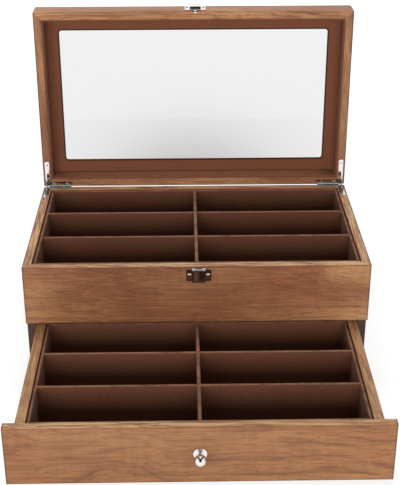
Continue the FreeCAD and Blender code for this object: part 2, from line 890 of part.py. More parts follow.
def make_latch_spring():
    """Torsion spring round the lever's pin, one six-sided wire along a helix of half turns."""
    rise = spring_pitch / (2 * math.pi)
    length = math.hypot(spring_radius, rise)

    def place(turn):
        x = -spring_turns * spring_pitch / 2 + rise * turn
        out = spring_radius * math.cos(turn)
        up = spring_radius * math.sin(turn)
        return FreeCAD.Vector(x, latch_y + out, latch_z + up)

    def way(turn):
        across = FreeCAD.Vector(rise, -spring_radius * math.sin(turn), spring_radius * math.cos(turn))
        return across * (1 / length)

    arcs = []
    for half in range(spring_turns * 2):
        start = half * math.pi
        arcs += biarc(place(start), way(start), place(start + math.pi), way(start + math.pi))
    side = way(0).cross(Y_AXIS)
    corners = []
    for index in range(spring_wire_sides + 1):
        angle = 2 * math.pi * index / spring_wire_sides
        offset = Y_AXIS * math.cos(angle) + side * math.sin(angle)
        corners.append(place(0) + offset * spring_wire_radius)
    print("spring: least gap between its turns", round(spring_pitch - 2 * spring_wire_radius, 3))
    return Part.Wire(arcs).makePipeShell([Part.makePolygon(corners)], True, False)


def make_latch_pin():
    """Pin of the lever."""
    reach = lever_width / 2 - latch_clearance
    return rod(latch_pin_radius, (-reach, latch_y, latch_z), (reach, latch_y, latch_z))


def make_keeper():
    """Stamped keeper on the lid: screwed ears, raised arch and windowed tongue."""
    back = -half_depth
    half = keeper_width / 2
    low = lid_rim + keeper_from_rim
    plate = box(-half, half, back - keeper_thickness, back, low, low + keeper_length)
    plate = rounded(plate, latch_plate_corner, Y_AXIS)
    arch = arch_block(0)
    hollow = arch_block(arch_wall)
    tongue_half = tongue_width / 2
    tongue_front = back - keeper_thickness
    tongue_rear = tongue_front + tongue_thickness
    tongue = box(-tongue_half, tongue_half, tongue_front, tongue_rear, tongue_tip(), low + tongue_root)
    tongue = rounded(tongue, latch_plate_corner, Y_AXIS, lambda p: near(p.z, tongue_tip()))
    window_half = tongue_window_width / 2
    window_top = lid_rim + tongue_window_top
    window = box(-window_half, window_half, tongue_front, back, tongue_bar_top(), window_top)
    keeper = fused([plate, arch]).cut(hollow)
    keeper = fused([keeper, tongue]).cut(window)
    return keeper.cut(screw_holes(keeper_screw_places(), keeper_thickness))


def arch_block(inset):
    """Outer form of the keeper's arch, or its hollow where inset is the arch's wall."""
    half = arch_width / 2 - inset
    front = -half_depth - arch_height + inset
    back = -half_depth - keeper_thickness
    low = lid_rim + keeper_from_rim - inset
    high = lid_rim + keeper_from_rim + arch_length - inset
    outline = [(back, low), (front, low), (front, high - arch_slope), (back, high)]
    block = side_prism(outline, -half, half)
    return rounded(block, arch_round - inset, Z_AXIS, lambda p: near(p.y, front))


# Drawer, modelled closed
def make_drawer_front():
    """Front board as wide as the case, with the knob's bore and counterbore."""
    face = -half_depth
    rear = face + drawer_front_thickness
    board = box(-half_width, half_width, face, rear, drawer_front_lift, drawer_front_top)
    board = board.makeChamfer(outer_edge, [e for e in board.Edges if near(e.BoundBox.YMax, face)])
    board = board.cut(make_drawer_bottom())
    bore = rod(knob_screw_radius + knob_screw_clearance, (0, face, knob_z), (0, rear, knob_z))
    sink = rod(knob_counterbore_radius, (0, rear - knob_counterbore_depth, knob_z), (0, rear, knob_z))
    return board.cut([bore, sink])


def drawer_rear():
    """Rear face of the closed drawer."""
    return -half_depth + drawer_length


def make_drawer_side():
    """Right-hand side of the drawer."""
    front = -half_depth + drawer_front_thickness
    board = box(drawer_inner, drawer_outer, front, drawer_rear(), drawer_base, drawer_side_top)
    board = chamfered(board, inner_edge, Y_AXIS, lambda p: near(p.z, drawer_side_top))
    return board.cut([make_drawer_bottom()] + drawer_brads())


def drawer_brads():
    """Two brads in the top edge of the right-hand side."""
    middle = (drawer_inner + drawer_outer) / 2
    y = drawer_rear() - brad_from_back
    brads = []
    for x in (middle - brad_spacing / 2, middle + brad_spacing / 2):
        foot = (x, y, drawer_side_top - brad_length)
        brads.append(faceted((brad_radius, brad_radius), foot, (x, y, drawer_side_top)))
    return brads


def make_drawer_brads():
    """The brads of both sides, as separate solids."""
    brads = drawer_brads()
    return Part.makeCompound(brads + [mirrored(brad) for brad in brads])


def make_drawer_back():
    """Back board, higher than the sides: its top catches behind the tray's front panel."""
    rear = drawer_rear()
    board = box(-drawer_inner, drawer_inner, rear - drawer_wall, rear, drawer_base, drawer_back_top)
    board = chamfered(board, inner_edge, X_AXIS, lambda p: near(p.z, drawer_back_top))
    return board.cut(make_drawer_bottom())


def make_drawer_bottom():
    """Thin board in grooves round the drawer."""
    x = drawer_inner + groove_depth
    front = -half_depth + drawer_front_thickness - groove_depth
    back = drawer_rear() - drawer_wall + groove_depth
    return box(-x, x, front, back, drawer_bottom_base, drawer_bottom_top)


def make_drawer_insert():
    """Insert of the drawer."""
    front = -half_depth + drawer_front_thickness
    back = drawer_rear() - drawer_wall
    top = drawer_side_top - insert_drop
    return make_insert("drawer", drawer_inner, front, back, drawer_bottom_top, top)


def make_knob():
    """Turned knob: coned flange and boss, neck and ball on one axis, with a screw hole."""
    boss = knob_flange_thickness + knob_boss_height
    profile = [
        (0, knob_flange_radius),
        (knob_flange_thickness / 2, knob_flange_radius),
        (knob_flange_thickness, knob_boss_radius),
        (boss, knob_neck_radius),
    ]
    neck_angle = math.asin(knob_neck_radius / knob_ball_radius)
    for band in range(knob_bands + 1):
        angle = neck_angle + (math.pi - neck_angle) * band / (knob_bands + knob_tip_flat)
        along = knob_ball_from_face - knob_ball_radius * math.cos(angle)
        profile.append((along, knob_ball_radius * math.sin(angle)))
    face = (0, -half_depth, knob_z)
    knob = turned(profile, face, Y_AXIS * -1, knob_sides)
    hole_end = (0, -half_depth - knob_screw_reach, knob_z)
    return knob.cut(faceted((knob_screw_radius, knob_screw_radius), face, hole_end))


def make_knob_screw():
    """Screw that holds the knob from inside the drawer's front."""
    sink = -half_depth + drawer_front_thickness - knob_counterbore_depth
    tip = -half_depth - knob_screw_reach + knob_screw_clearance
    head = (knob_screw_head_radius, knob_screw_head_radius)
    shank = (knob_screw_radius, knob_screw_radius)
    pieces = [
        faceted(head, (0, sink, knob_z), (0, sink + knob_screw_head_height, knob_z)),
        faceted(shank, (0, sink, knob_z), (0, tip, knob_z)),
    ]
    return fused(pieces)


# Assembly
def case_parts():
    """Pieces that stand still."""
    latch_holes = [at_latch(hole) for hole in screw_holes(latch_screw_places(), latch_plate_thickness)]
    parts = {
        "tray_floor": make_tray_floor(),
        "case_bottom": make_case_bottom(),
        "base_sheet": make_base_sheet(),
        "case_left_side": fitted_with_hinges(make_case_side("left"), 1),
        "case_right_side": fitted_with_hinges(make_case_side("right"), 1),
        "case_back": fitted_with_hinges(make_case_back(), 1),
        "case_front_panel": make_case_front_panel().cut(latch_holes),
    }
    leaf = make_leaf(rim_height - leaf_thickness, rim_height, (0, 2), 1)
    pin = make_hinge_pin()
    parts["right_case_hinge_leaf"] = leaf
    parts["left_case_hinge_leaf"] = mirrored(leaf)
    parts["right_hinge_pin"] = pin
    parts["left_hinge_pin"] = mirrored(pin)
    parts["case_hinge_screws"] = make_hinge_screws(1)
    parts["latch_base"] = at_latch(make_latch_base())
    parts["latch_pin"] = at_latch(make_latch_pin())
    parts["latch_spring"] = at_latch(make_latch_spring())
    parts["latch_base_screws"] = at_latch(screw_pair(latch_screw_places(), latch_plate_thickness))
    parts.update(make_tray_insert())
    return parts


def stay_parts():
    """The two stays, which turn half as far as the lid."""
    stay = make_stay()
    return {"right_stay": stay, "left_stay": mirrored(stay)}


def lid_parts():
    """Pieces of the lid, modelled closed."""
    keeper_holes = [at_latch(hole) for hole in screw_holes(keeper_screw_places(), keeper_thickness)]
    parts = {
        "lid_left_rail": fitted_with_hinges(make_lid_rail("left"), -1),
        "lid_right_rail": fitted_with_hinges(make_lid_rail("right"), -1),
        "lid_back_rail": fitted_with_hinges(make_lid_rail("back"), -1),
        "lid_front_rail": make_lid_rail("front").cut(keeper_holes),
        "lid_top_panel": make_lid_panel(),
        "lid_glass": make_glass(),
        "lid_bezel": make_bezel(),
        "latch_keeper": at_latch(make_keeper()),
        "keeper_screws": at_latch(screw_pair(keeper_screw_places(), keeper_thickness)),
        "lid_hinge_screws": make_hinge_screws(-1),
    }
    leaf = make_leaf(lid_rim, lid_rim + leaf_thickness, (1,), -1)
    parts["right_lid_hinge_leaf"] = leaf
    parts["left_lid_hinge_leaf"] = mirrored(leaf)
    parts.update(make_lid_liners())
    return parts


def drawer_parts():
    """Pieces of the drawer, modelled closed."""
    side = make_drawer_side()
    parts = {
        "drawer_front": make_drawer_front(),
        "drawer_right_side": side,
        "drawer_left_side": mirrored(side),
        "drawer_back": make_drawer_back(),
        "drawer_bottom": make_drawer_bottom(),
        "drawer_brads": make_drawer_brads(),
        "drawer_knob": make_knob(),
        "knob_screw": make_knob_screw(),
    }
    parts.update(make_drawer_insert())
    return parts


def all_parts():
    """Every piece at its place with the lid open and the drawer out."""
    parts = case_parts()
    parts["latch_lever"] = at_latch(make_latch_lever())
    parts.update(stay_parts())
    parts.update({name: opened(shape) for name, shape in lid_parts().items()})
    parts.update({name: pulled_out(shape) for name, shape in drawer_parts().items()})
    return parts


def main():
    """Writes one STEP file for each piece."""
    os.makedirs("parts", exist_ok=True)
    for name, shape in all_parts().items():
        shape.exportStep("parts/" + name + ".step")


main()
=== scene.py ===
import json
import math

import bmesh
import bpy
from mathutils import Matrix, Vector


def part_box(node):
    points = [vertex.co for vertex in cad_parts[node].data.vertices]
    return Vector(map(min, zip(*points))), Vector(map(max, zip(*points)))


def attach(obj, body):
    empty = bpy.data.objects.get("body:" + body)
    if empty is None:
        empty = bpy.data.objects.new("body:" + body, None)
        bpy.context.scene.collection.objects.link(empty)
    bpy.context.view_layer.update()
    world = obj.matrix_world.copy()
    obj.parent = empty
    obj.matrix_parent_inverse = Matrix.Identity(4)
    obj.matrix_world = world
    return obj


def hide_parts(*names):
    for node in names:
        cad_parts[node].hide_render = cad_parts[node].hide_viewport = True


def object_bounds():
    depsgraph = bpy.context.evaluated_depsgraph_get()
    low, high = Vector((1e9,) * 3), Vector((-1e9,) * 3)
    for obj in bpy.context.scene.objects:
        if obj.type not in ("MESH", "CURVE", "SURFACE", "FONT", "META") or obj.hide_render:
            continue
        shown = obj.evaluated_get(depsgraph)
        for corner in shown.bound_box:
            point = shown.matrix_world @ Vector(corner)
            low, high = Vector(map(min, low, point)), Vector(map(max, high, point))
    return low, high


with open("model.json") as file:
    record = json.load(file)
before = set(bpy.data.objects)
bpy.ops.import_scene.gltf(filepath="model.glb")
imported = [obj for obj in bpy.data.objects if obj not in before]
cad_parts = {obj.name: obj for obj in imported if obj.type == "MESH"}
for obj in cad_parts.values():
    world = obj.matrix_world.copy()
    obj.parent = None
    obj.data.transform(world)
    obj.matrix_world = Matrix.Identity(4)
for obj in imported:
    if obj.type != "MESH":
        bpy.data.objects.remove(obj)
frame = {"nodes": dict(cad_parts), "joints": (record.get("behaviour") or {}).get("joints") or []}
nodes = frame["nodes"]
cad_low, cad_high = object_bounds()

MM = 0.001
X_AXIS, Y_AXIS, Z_AXIS = 0, 1, 2
ORIGIN = (0.0, 0.0, 0.0)
WHITE = (1, 1, 1, 1)


def joint(name):
    """The joint of that name in the frame."""
    return next(j for j in frame["joints"] if j["name"] == name)


def srgb(red, green, blue):
    """A linear colour from one written as on a screen, 0 to 255."""
    def line(value):
        part = value / 255
        return part / 12.92 if part <= 0.04045 else ((part + 0.055) / 1.055) ** 2.4
    return line(red), line(green), line(blue), 1.0


def grey(level):
    """A linear grey."""
    return level, level, level, 1.0


def dimmed(tone, share):
    """A linear colour times share."""
    return [part * share for part in tone[:3]] + [1]


class Nodes:
    """Makes the shader nodes of a world or a material. Its calls give back sockets to feed on."""

    def __init__(self, owner):
        owner.use_nodes = True
        self.tree = owner.node_tree
        self.tree.nodes.clear()

    def feed(self, socket, value):
        """Links an output to a socket, or sets the socket to a constant."""
        if isinstance(value, bpy.types.NodeSocket):
            self.tree.links.new(value, socket)
        else:
            socket.default_value = value

    def node(self, kind, inputs=None, **settings):
        """A new node of that kind, with its settings made and its inputs fed."""
        made = self.tree.nodes.new("ShaderNode" + kind)
        for key, value in settings.items():
            setattr(made, key, value)
        for key, value in (inputs or {}).items():
            self.feed(made.inputs[key], value)
        return made

    def calc(self, operation, *values):
        return self.node("Math", dict(enumerate(values)), operation=operation).outputs[0]

    def parts(self, vector):
        """The X, Y and Z of a vector."""
        return self.node("SeparateXYZ", {0: vector}).outputs

    def vector(self, operation, *values):
        """The outputs of a vector sum, a vector and a number."""
        return self.node("VectorMath", dict(enumerate(values)), operation=operation).outputs

    def length(self, vector):
        return self.vector("LENGTH", vector)["Value"]

    def step(self, value, low, high, top=1.0, base=0.0):
        """base below low and top above high, with a soft way between."""
        inputs = {"Value": value, "From Min": low, "From Max": high, "To Min": base, "To Max": top}
        return self.node("MapRange", inputs, interpolation_type="SMOOTHSTEP").outputs[0]

    def away(self, value, middle):
        """How far a value is from a middle, either way."""
        return self.calc("ABSOLUTE", self.calc("SUBTRACT", value, middle))


class Shader(Nodes):
    """The nodes of one material."""

    def __init__(self, name):
        self.material = bpy.data.materials.new(name)
        super().__init__(self.material)

    def place(self):
        """The point of the surface in the row frame, at rest."""
        return self.node("TexCoord").outputs["Object"]

    def facing(self, axis):
        """How far the surface faces along that axis of the row frame, either way."""
        return self.calc("ABSOLUTE", self.parts(self.node("TexCoord").outputs["Normal"])[axis])

    def scaled(self, vector, scale, shift=ORIGIN):
        """vector times scale plus shift, each along its own axis."""
        return self.vector("MULTIPLY_ADD", vector, scale, shift)["Vector"]

    def noise(self, vector, detail=2.0, roughness=0.5):
        inputs = {"Vector": vector, "Scale": 1.0, "Detail": detail, "Roughness": roughness}
        return self.node("TexNoise", inputs).outputs["Fac"]

    def specks(self, fineness, detail=2.0, roughness=0.5):
        """Noise with that many features a metre, as one number or one for each axis."""
        scale = (fineness,) * 3 if isinstance(fineness, int) else fineness
        return self.noise(self.scaled(self.place(), scale), detail, roughness)

    def mixed(self, amount, first, second):
        made = self.node("Mix", data_type="RGBA")
        self.feed(made.inputs["Factor"], amount)
        self.feed(made.inputs[6], first)
        self.feed(made.inputs[7], second)
        return made.outputs[2]

    def bump(self, height, strength, distance):
        inputs = {"Height": height, "Strength": strength, "Distance": distance}
        return self.node("Bump", inputs).outputs[0]

    def emission(self, strength):
        return self.node("Emission", {"Color": WHITE, "Strength": strength}).outputs[0]

    def principled(self, **inputs):
        named = {key.replace("_", " "): value for key, value in inputs.items()}
        return self.node("BsdfPrincipled", named).outputs[0]

    def finish(self, surface):
        self.node("OutputMaterial", {"Surface": surface})
        return self.material


# Wood tones: the light ground, the middle, the red shade and the dark streaks
TONE_NAMES = ("light", "middle", "red", "dark")
WALNUT = (srgb(180, 132, 90), srgb(148, 98, 66), srgb(134, 82, 56), srgb(82, 49, 33))
DRAWER_FRONT = (srgb(171, 125, 83), srgb(162, 113, 74), srgb(151, 101, 66), srgb(90, 55, 38))
LID_END = (srgb(184, 136, 94), srgb(160, 108, 72), srgb(142, 88, 60), srgb(90, 54, 38))
LID_SIDE = (srgb(166, 122, 86), srgb(146, 98, 66), srgb(128, 80, 55), srgb(82, 49, 35))
DRAWER_SIDE = (srgb(184, 142, 100), srgb(162, 118, 80), srgb(146, 100, 68), srgb(98, 66, 46))
PLYWOOD = (srgb(196, 160, 118), srgb(176, 138, 98), srgb(160, 120, 84), srgb(118, 84, 58))
# Painted highlight tone of the rims
RIM_HIGHLIGHT_TINT = srgb(208, 168, 124)
END_GRAIN = srgb(58, 42, 38)
# Painted shade along the arrises
ARRIS_SHADE_TONE = srgb(64, 46, 38)

# Layers of the wood's figure: whether they follow the swing of the grain, their features per metre
# along the grain and across it, where the noise is read, its detail and its roughness
STRAIGHT, BENT = False, True
WOOD_LAYERS = {
    "swing": (STRAIGHT, 5.0, 13.0, ORIGIN, 1.0, 0.5),
    "ripple": (STRAIGHT, 34.0, 80.0, ORIGIN, 1.0, 0.5),
    "cloud": (BENT, 6.0, 26.0, ORIGIN, 2.0, 0.5),
    "patch": (STRAIGHT, 9.0, 15.0, (9.0, 2.0, 4.0), 1.0, 0.5),
    "bands": (BENT, 5.5, 190.0, (3.1, 1.7, 5.3), 3.0, 0.62),
    "streaks": (BENT, 19.0, 700.0, (6.0, 8.0, 1.0), 3.0, 0.62),
    "fibre": (BENT, 75.0, 2300.0, ORIGIN, 2.0, 0.6),
    "pores": (BENT, 130.0, 3300.0, ORIGIN, 1.0, 0.5),
    "mottle": (STRAIGHT, 150.0, 34.0, (2.0, 7.0, 5.0), 1.0, 0.5),
    "vein_wander": (STRAIGHT, 6.5, 9.0, (1.0, 5.0, 3.0), 1.0, 0.5),
    "vein_place": (BENT, 7.0, 60.0, (4.0, 4.0, 9.0), 1.0, 0.5),
}
FIGURE_LAYERS = ("cloud", "patch", "bands", "streaks", "fibre", "pores", "mottle")

# Tints laid over the light ground: the layer, its noise levels from none to full, the share and
# the tone
GROUND_TINTS = (
    ("cloud", 0.36, 0.64, 1.0, "middle"),
    ("patch", 0.4, 0.66, 0.8, "red"),
)
FIGURE_TINTS = (
    ("bands", 0.46, 0.72, 0.34, "dark"),
    ("streaks", 0.46, 0.68, 0.5, "dark"),
    ("streaks", 0.5, 0.28, 0.3, "light"),
    ("fibre", 0.5, 0.72, 0.6, "dark"),
    ("mottle", 0.45, 0.7, 0.1, "dark"),
)

# Where a seed reads the figure along X, Y and Z, how far the grain drifts sideways over its
# length, and its small waves in mm
SEED_SHARES = (1.0, 0.7, 1.3)
GRAIN_SLOPE = 0.03
RIPPLE = 2.2

# Heartwood: the waves of its edge in mm, its part of full tone, and how dark its red is
HEART_SWAY = 56
HEART_CORE = 0.2
HEART_TONE = 0.45

# Pores and veins: levels of their noise from none to full, the pores' share, the veins across a
# metre and how far they wander, and for a vein's line and shade its half widths and share
PORE_LEVELS, PORE_SHARE = (0.64, 0.72), 0.36
VEIN_LEVELS = (0.4, 0.62)
VEINS_PER_METRE, VEIN_WANDER = 74.0, 5.6
VEIN_LINES = ((0.06, 0.012, 0.5), (0.4, 0.03, 0.4))

# Facing from which a face counts as square to an axis, the streaks that pale its rims as a painted
# highlight, and the widths of a dark arris of painted shade from its soft edge to its core
FACING = (0.75, 0.95)
RIM_GAIN, RIM_STREAKS = 1.7, (0.62, 0.4)
ARRIS_WIDTHS, ARRIS_FACING = (1.7 * MM, 0.8 * MM), (0.6, 0.2)

# The satin coat: what the fibres add to its roughness, and their relief over the pores
WOOD_ROUGHNESS, FIBRE_ROUGHNESS = 0.40, 0.16
WOOD_SPECULAR = 0.38
FIBRE_RELIEF, WOOD_BUMP, WOOD_DEPTH = 0.6, 0.35, 0.06 * MM


class Veneer(Shader):
    """Stained veneer whose grain runs along one axis and swings sideways within sway mm."""

    def __init__(self, name, grain, tones, sway, seed):
        super().__init__(name)
        self.grain = grain
        self.across = [axis for axis in range(3) if axis != grain]
        self.tones = dict(zip(TONE_NAMES, tones))
        self.sway = sway
        start = [seed * share for share in SEED_SHARES]
        self.straight = self.scaled(self.place(), (1, 1, 1), start)
        self.swing = self.sideways("swing", sway)
        along = self.parts(self.straight)[grain]
        bend = self.calc("MULTIPLY_ADD", along, GRAIN_SLOPE, self.swing)
        bend = self.calc("ADD", bend, self.sideways("ripple", RIPPLE))
        shift = self.node("CombineXYZ", {axis: bend for axis in self.across}).outputs[0]
        self.bent = self.vector("ADD", self.straight, shift)["Vector"]

    def layer(self, name):
        """The noise of one layer of the figure."""
        bent, along, across, shift, detail, roughness = WOOD_LAYERS[name]
        scale = [across] * 3
        scale[self.grain] = along
        point = self.bent if bent else self.straight
        return self.noise(self.scaled(point, scale, shift), detail, roughness)

    def sideways(self, name, reach):
        """A layer as a move to either side, reach mm from end to end."""
        return self.calc("MULTIPLY", self.calc("SUBTRACT", self.layer(name), 0.5), reach * MM)

    def tinted(self, colour, layers, tints):
        """Each tint of a table laid over the colour in turn."""
        for name, low, high, share, tone in tints:
            colour = self.mixed(self.step(layers[name], low, high, share), colour, self.tones[tone])
        return colour

    def hearted(self, colour, centre, half, share):
        """Darker heartwood about a centre along the grain, in mm, with a wavy edge."""
        spot = self.parts(self.place())[self.grain]
        wavy = self.calc("MULTIPLY_ADD", self.swing, HEART_SWAY / self.sway, spot)
        heart = self.step(self.away(wavy, centre * MM), half * MM, half * HEART_CORE * MM, share)
        tone = self.mixed(HEART_TONE, self.tones["red"], self.tones["dark"])
        return self.mixed(heart, colour, tone)

    def veined(self, colour, share):
        """Long dark veins that come and go, each a fine line with a soft shade beside it."""
        wander = self.calc("MULTIPLY", self.layer("vein_wander"), VEIN_WANDER)
        across = self.parts(self.bent)[self.across[-1]]
        turn = self.calc("MULTIPLY_ADD", across, VEINS_PER_METRE, wander)
        edge = self.away(self.calc("FRACT", turn), 0.5)
        line = self.calc("ADD", *(self.step(edge, *levels) for levels in VEIN_LINES))
        line = self.calc("MULTIPLY", line, self.step(self.layer("vein_place"), *VEIN_LEVELS, share))
        return self.mixed(line, colour, self.tones["dark"])

    def rimmed(self, colour, streaks, axis, share):
        """Painted highlight: paler streaks on the rims that face along an axis, as if lit from
        above.
        """
        rim = self.step(self.facing(axis), *FACING, RIM_GAIN * share)
        rim_highlight = self.calc("MULTIPLY", rim, self.step(streaks, *RIM_STREAKS))
        return self.mixed(rim_highlight, colour, RIM_HIGHLIGHT_TINT)

    def edged(self, colour, axis, level, share):
        """Painted shade: a dark line along the arrises that lie at that level, on the faces beside
        them.
        """
        spot = self.calc("ABSOLUTE", self.parts(self.place())[axis])
        line = self.step(self.away(spot, level), *ARRIS_WIDTHS, share)
        line = self.calc("MULTIPLY", line, self.step(self.facing(axis), *ARRIS_FACING))
        return self.mixed(line, colour, ARRIS_SHADE_TONE)


def wood(name, grain, tones, seed, sway=14, rim=Z_AXIS, rim_share=0.4, ends=0.4, veins=0.0,
         heart=None, arrises=()):
    """Material of stained veneer with a satin coat, dark pores and dark end grain."""
    s = Veneer(name, grain, tones, sway, seed)
    layers = {layer: s.layer(layer) for layer in FIGURE_LAYERS}
    colour = s.tinted(s.tones["light"], layers, GROUND_TINTS)
    if heart:
        colour = s.hearted(colour, *heart)
    colour = s.tinted(colour, layers, FIGURE_TINTS)
    pores = s.step(layers["pores"], *PORE_LEVELS)
    colour = s.mixed(s.calc("MULTIPLY", pores, PORE_SHARE), colour, s.tones["dark"])
    if veins:
        colour = s.veined(colour, veins)
    # Paler rims are a painted highlight.
    colour = s.rimmed(colour, layers["streaks"], rim, rim_share)
    # Dark arris lines are painted shade.
    for arris in arrises:
        colour = s.edged(colour, *arris)
    colour = s.mixed(s.step(s.facing(grain), *FACING, ends), colour, END_GRAIN)
    height = s.calc("SUBTRACT", s.calc("MULTIPLY", layers["fibre"], FIBRE_RELIEF), pores)
    shader = s.principled(
        Base_Color=colour,
        Roughness=s.calc("MULTIPLY_ADD", layers["fibre"], FIBRE_ROUGHNESS, WOOD_ROUGHNESS),
        Normal=s.bump(height, WOOD_BUMP, WOOD_DEPTH),
        Specular_IOR_Level=WOOD_SPECULAR,
    )
    return s.finish(shader)


# Flock tones: the inserts' tone, darker than the lid's as painted shade for their hollows, the
# lid's and the base's, with the painted highlight of level faces and the painted shade round the
# window among them, and how dim the deep nap is
INSERT_FLOCK_SHADED_TONE = srgb(106, 68, 51)
LID_FLOCK_TONE = srgb(125, 78, 58)
BASE_FLOCK_TONE = srgb(60, 48, 44)
FLOCK_TOP_HIGHLIGHT = srgb(150, 112, 92)
WINDOW_EDGE_SHADE = srgb(52, 33, 27)
DEEP_NAP = 0.6

# The flock's noises: features per metre, levels from none to full, and share
NAP, NAP_LEVELS = 1500, (0.32, 0.68)
PATCHES, PATCH_LEVELS, PATCH_SHARE = 22, (0.3, 0.8), 0.2
TOP_HIGHLIGHT_PATCHES, TOP_HIGHLIGHT_LEVELS = 90, (0.2, 0.6)
TOP_HIGHLIGHT_FACING, TOP_HIGHLIGHT_SHARE = (0.45, 0.95), 0.55
NAP_BUMP, NAP_DEPTH = 0.6, 0.14 * MM
WINDOW_SHADE_WIDTHS, WINDOW_SHADE_SHARE = (1.8 * MM, 1.0 * MM), 0.95

# The bezel's window: the height of its middle, half its width and height, and its corner radius
BEZEL_LOW, BEZEL_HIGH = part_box("lid_bezel")
BEZEL_WIDTH = 16.0 * MM
BEZEL_WINDOW = (
    (BEZEL_LOW[2] + BEZEL_HIGH[2]) / 2,
    BEZEL_HIGH[0] - BEZEL_WIDTH,
    (BEZEL_HIGH[2] - BEZEL_LOW[2]) / 2 - BEZEL_WIDTH,
    3.0 * MM,
)


def flock(name, tone, rim=None, window=None):
    """Short matt flock, finely napped, with a painted highlight on its level faces and painted
    shade round its window.
    """
    s = Shader(name)
    deep = dimmed(tone, DEEP_NAP)
    nap = s.specks(NAP, 3.0, 0.7)
    colour = s.mixed(s.step(nap, *NAP_LEVELS), deep, tone)
    colour = s.mixed(s.step(s.specks(PATCHES, 1.0), *PATCH_LEVELS, PATCH_SHARE), colour, deep)
    if rim is not None:
        # Painted highlight in patches on the level faces.
        edge = s.step(s.facing(rim), *TOP_HIGHLIGHT_FACING, TOP_HIGHLIGHT_SHARE)
        top_highlight = s.calc("MULTIPLY", edge, s.step(s.specks(TOP_HIGHLIGHT_PATCHES), *TOP_HIGHLIGHT_LEVELS))
        colour = s.mixed(top_highlight, colour, FLOCK_TOP_HIGHLIGHT)
    if window is not None:
        # Painted shade: a dark band round the window's edge.
        middle, half_x, half_z, corner = window
        spots = s.parts(s.scaled(s.place(), (1, 1, 1), (0, 0, -middle)))
        beyond = {}
        for axis, half in ((X_AXIS, half_x), (Z_AXIS, half_z)):
            out = s.calc("SUBTRACT", s.calc("ABSOLUTE", spots[axis]), half - corner)
            beyond[axis] = s.calc("MAXIMUM", out, 0.0)
        reach = s.length(s.node("CombineXYZ", beyond).outputs[0])
        cut = s.step(reach, *(corner + width for width in WINDOW_SHADE_WIDTHS), WINDOW_SHADE_SHARE)
        colour = s.mixed(cut, colour, WINDOW_EDGE_SHADE)
    shader = s.principled(
        Base_Color=colour,
        Roughness=0.95,
        Specular_IOR_Level=0.1,
        Sheen_Weight=0.06,
        Sheen_Roughness=0.5,
        Sheen_Tint=(0.8, 0.6, 0.5, 1),
        Normal=s.bump(nap, NAP_BUMP, NAP_DEPTH),
    )
    return s.finish(shader)


# Metal: its rub marks per metre along each axis, their relief, and its duller patches
RUB_MARKS, RUB_BUMP, RUB_DEPTH = (900, 5200, 1700), 0.08, 0.02 * MM
DULL_PATCHES, DULL_LEVELS, DULL_SHARE, DULL_TONE = 260, (0.45, 0.8), 0.35, 0.82


def plated(name, tone, rough, scratches=0.05):
    """Bright metal with fine rub marks and duller patches."""
    s = Shader(name)
    rub = s.specks(RUB_MARKS, 2.0, 0.6)
    dull = s.step(s.specks(DULL_PATCHES), *DULL_LEVELS, DULL_SHARE)
    shader = s.principled(
        Base_Color=s.mixed(dull, tone, dimmed(tone, DULL_TONE)),
        Metallic=1.0,
        Roughness=s.calc("MULTIPLY_ADD", rub, scratches, rough),
        Normal=s.bump(rub, RUB_BUMP, RUB_DEPTH),
    )
    return s.finish(shader)


# Glass: its tone in depth and to lamplight, how it bends light, and its smears
GLASS_TONE, GLASS_SHADOW = (0.87, 0.873, 0.873, 1), grey(0.92)
GLASS_IOR = 1.3
SMEARS, SMEAR_LEVELS, SMEAR_ROUGHNESS = 14, (0.3, 0.9), 0.012


def pane(name):
    """Clear float glass that lets lamplight through."""
    s = Shader(name)
    glass = s.principled(
        Base_Color=GLASS_TONE,
        Roughness=s.step(s.specks(SMEARS), *SMEAR_LEVELS, SMEAR_ROUGHNESS),
        IOR=GLASS_IOR,
        Transmission_Weight=1.0,
    )
    clear = s.node("BsdfTransparent", {"Color": GLASS_SHADOW}).outputs[0]
    shadow = s.node("LightPath").outputs["Is Shadow Ray"]
    return s.finish(s.node("MixShader", {0: shadow, 1: glass, 2: clear}).outputs[0])


# Painted shade as dark lines along the outer arrises: the axis, the level on it, either way,
# and the share
SIDE_ARRIS = (X_AXIS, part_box("case_right_side")[1][0], 0.8)
PANEL_LOW, PANEL_HIGH = (corner[2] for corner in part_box("case_front_panel"))
PANEL_ARRISES = ((Z_AXIS, PANEL_HIGH, 0.5), (Z_AXIS, PANEL_LOW, 0.5), SIDE_ARRIS)
DRAWER_LOW, DRAWER_HIGH = (corner[2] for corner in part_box("drawer_front"))
DRAWER_ARRISES = ((Z_AXIS, DRAWER_HIGH, 0.45), (Z_AXIS, DRAWER_LOW, 0.6), SIDE_ARRIS)

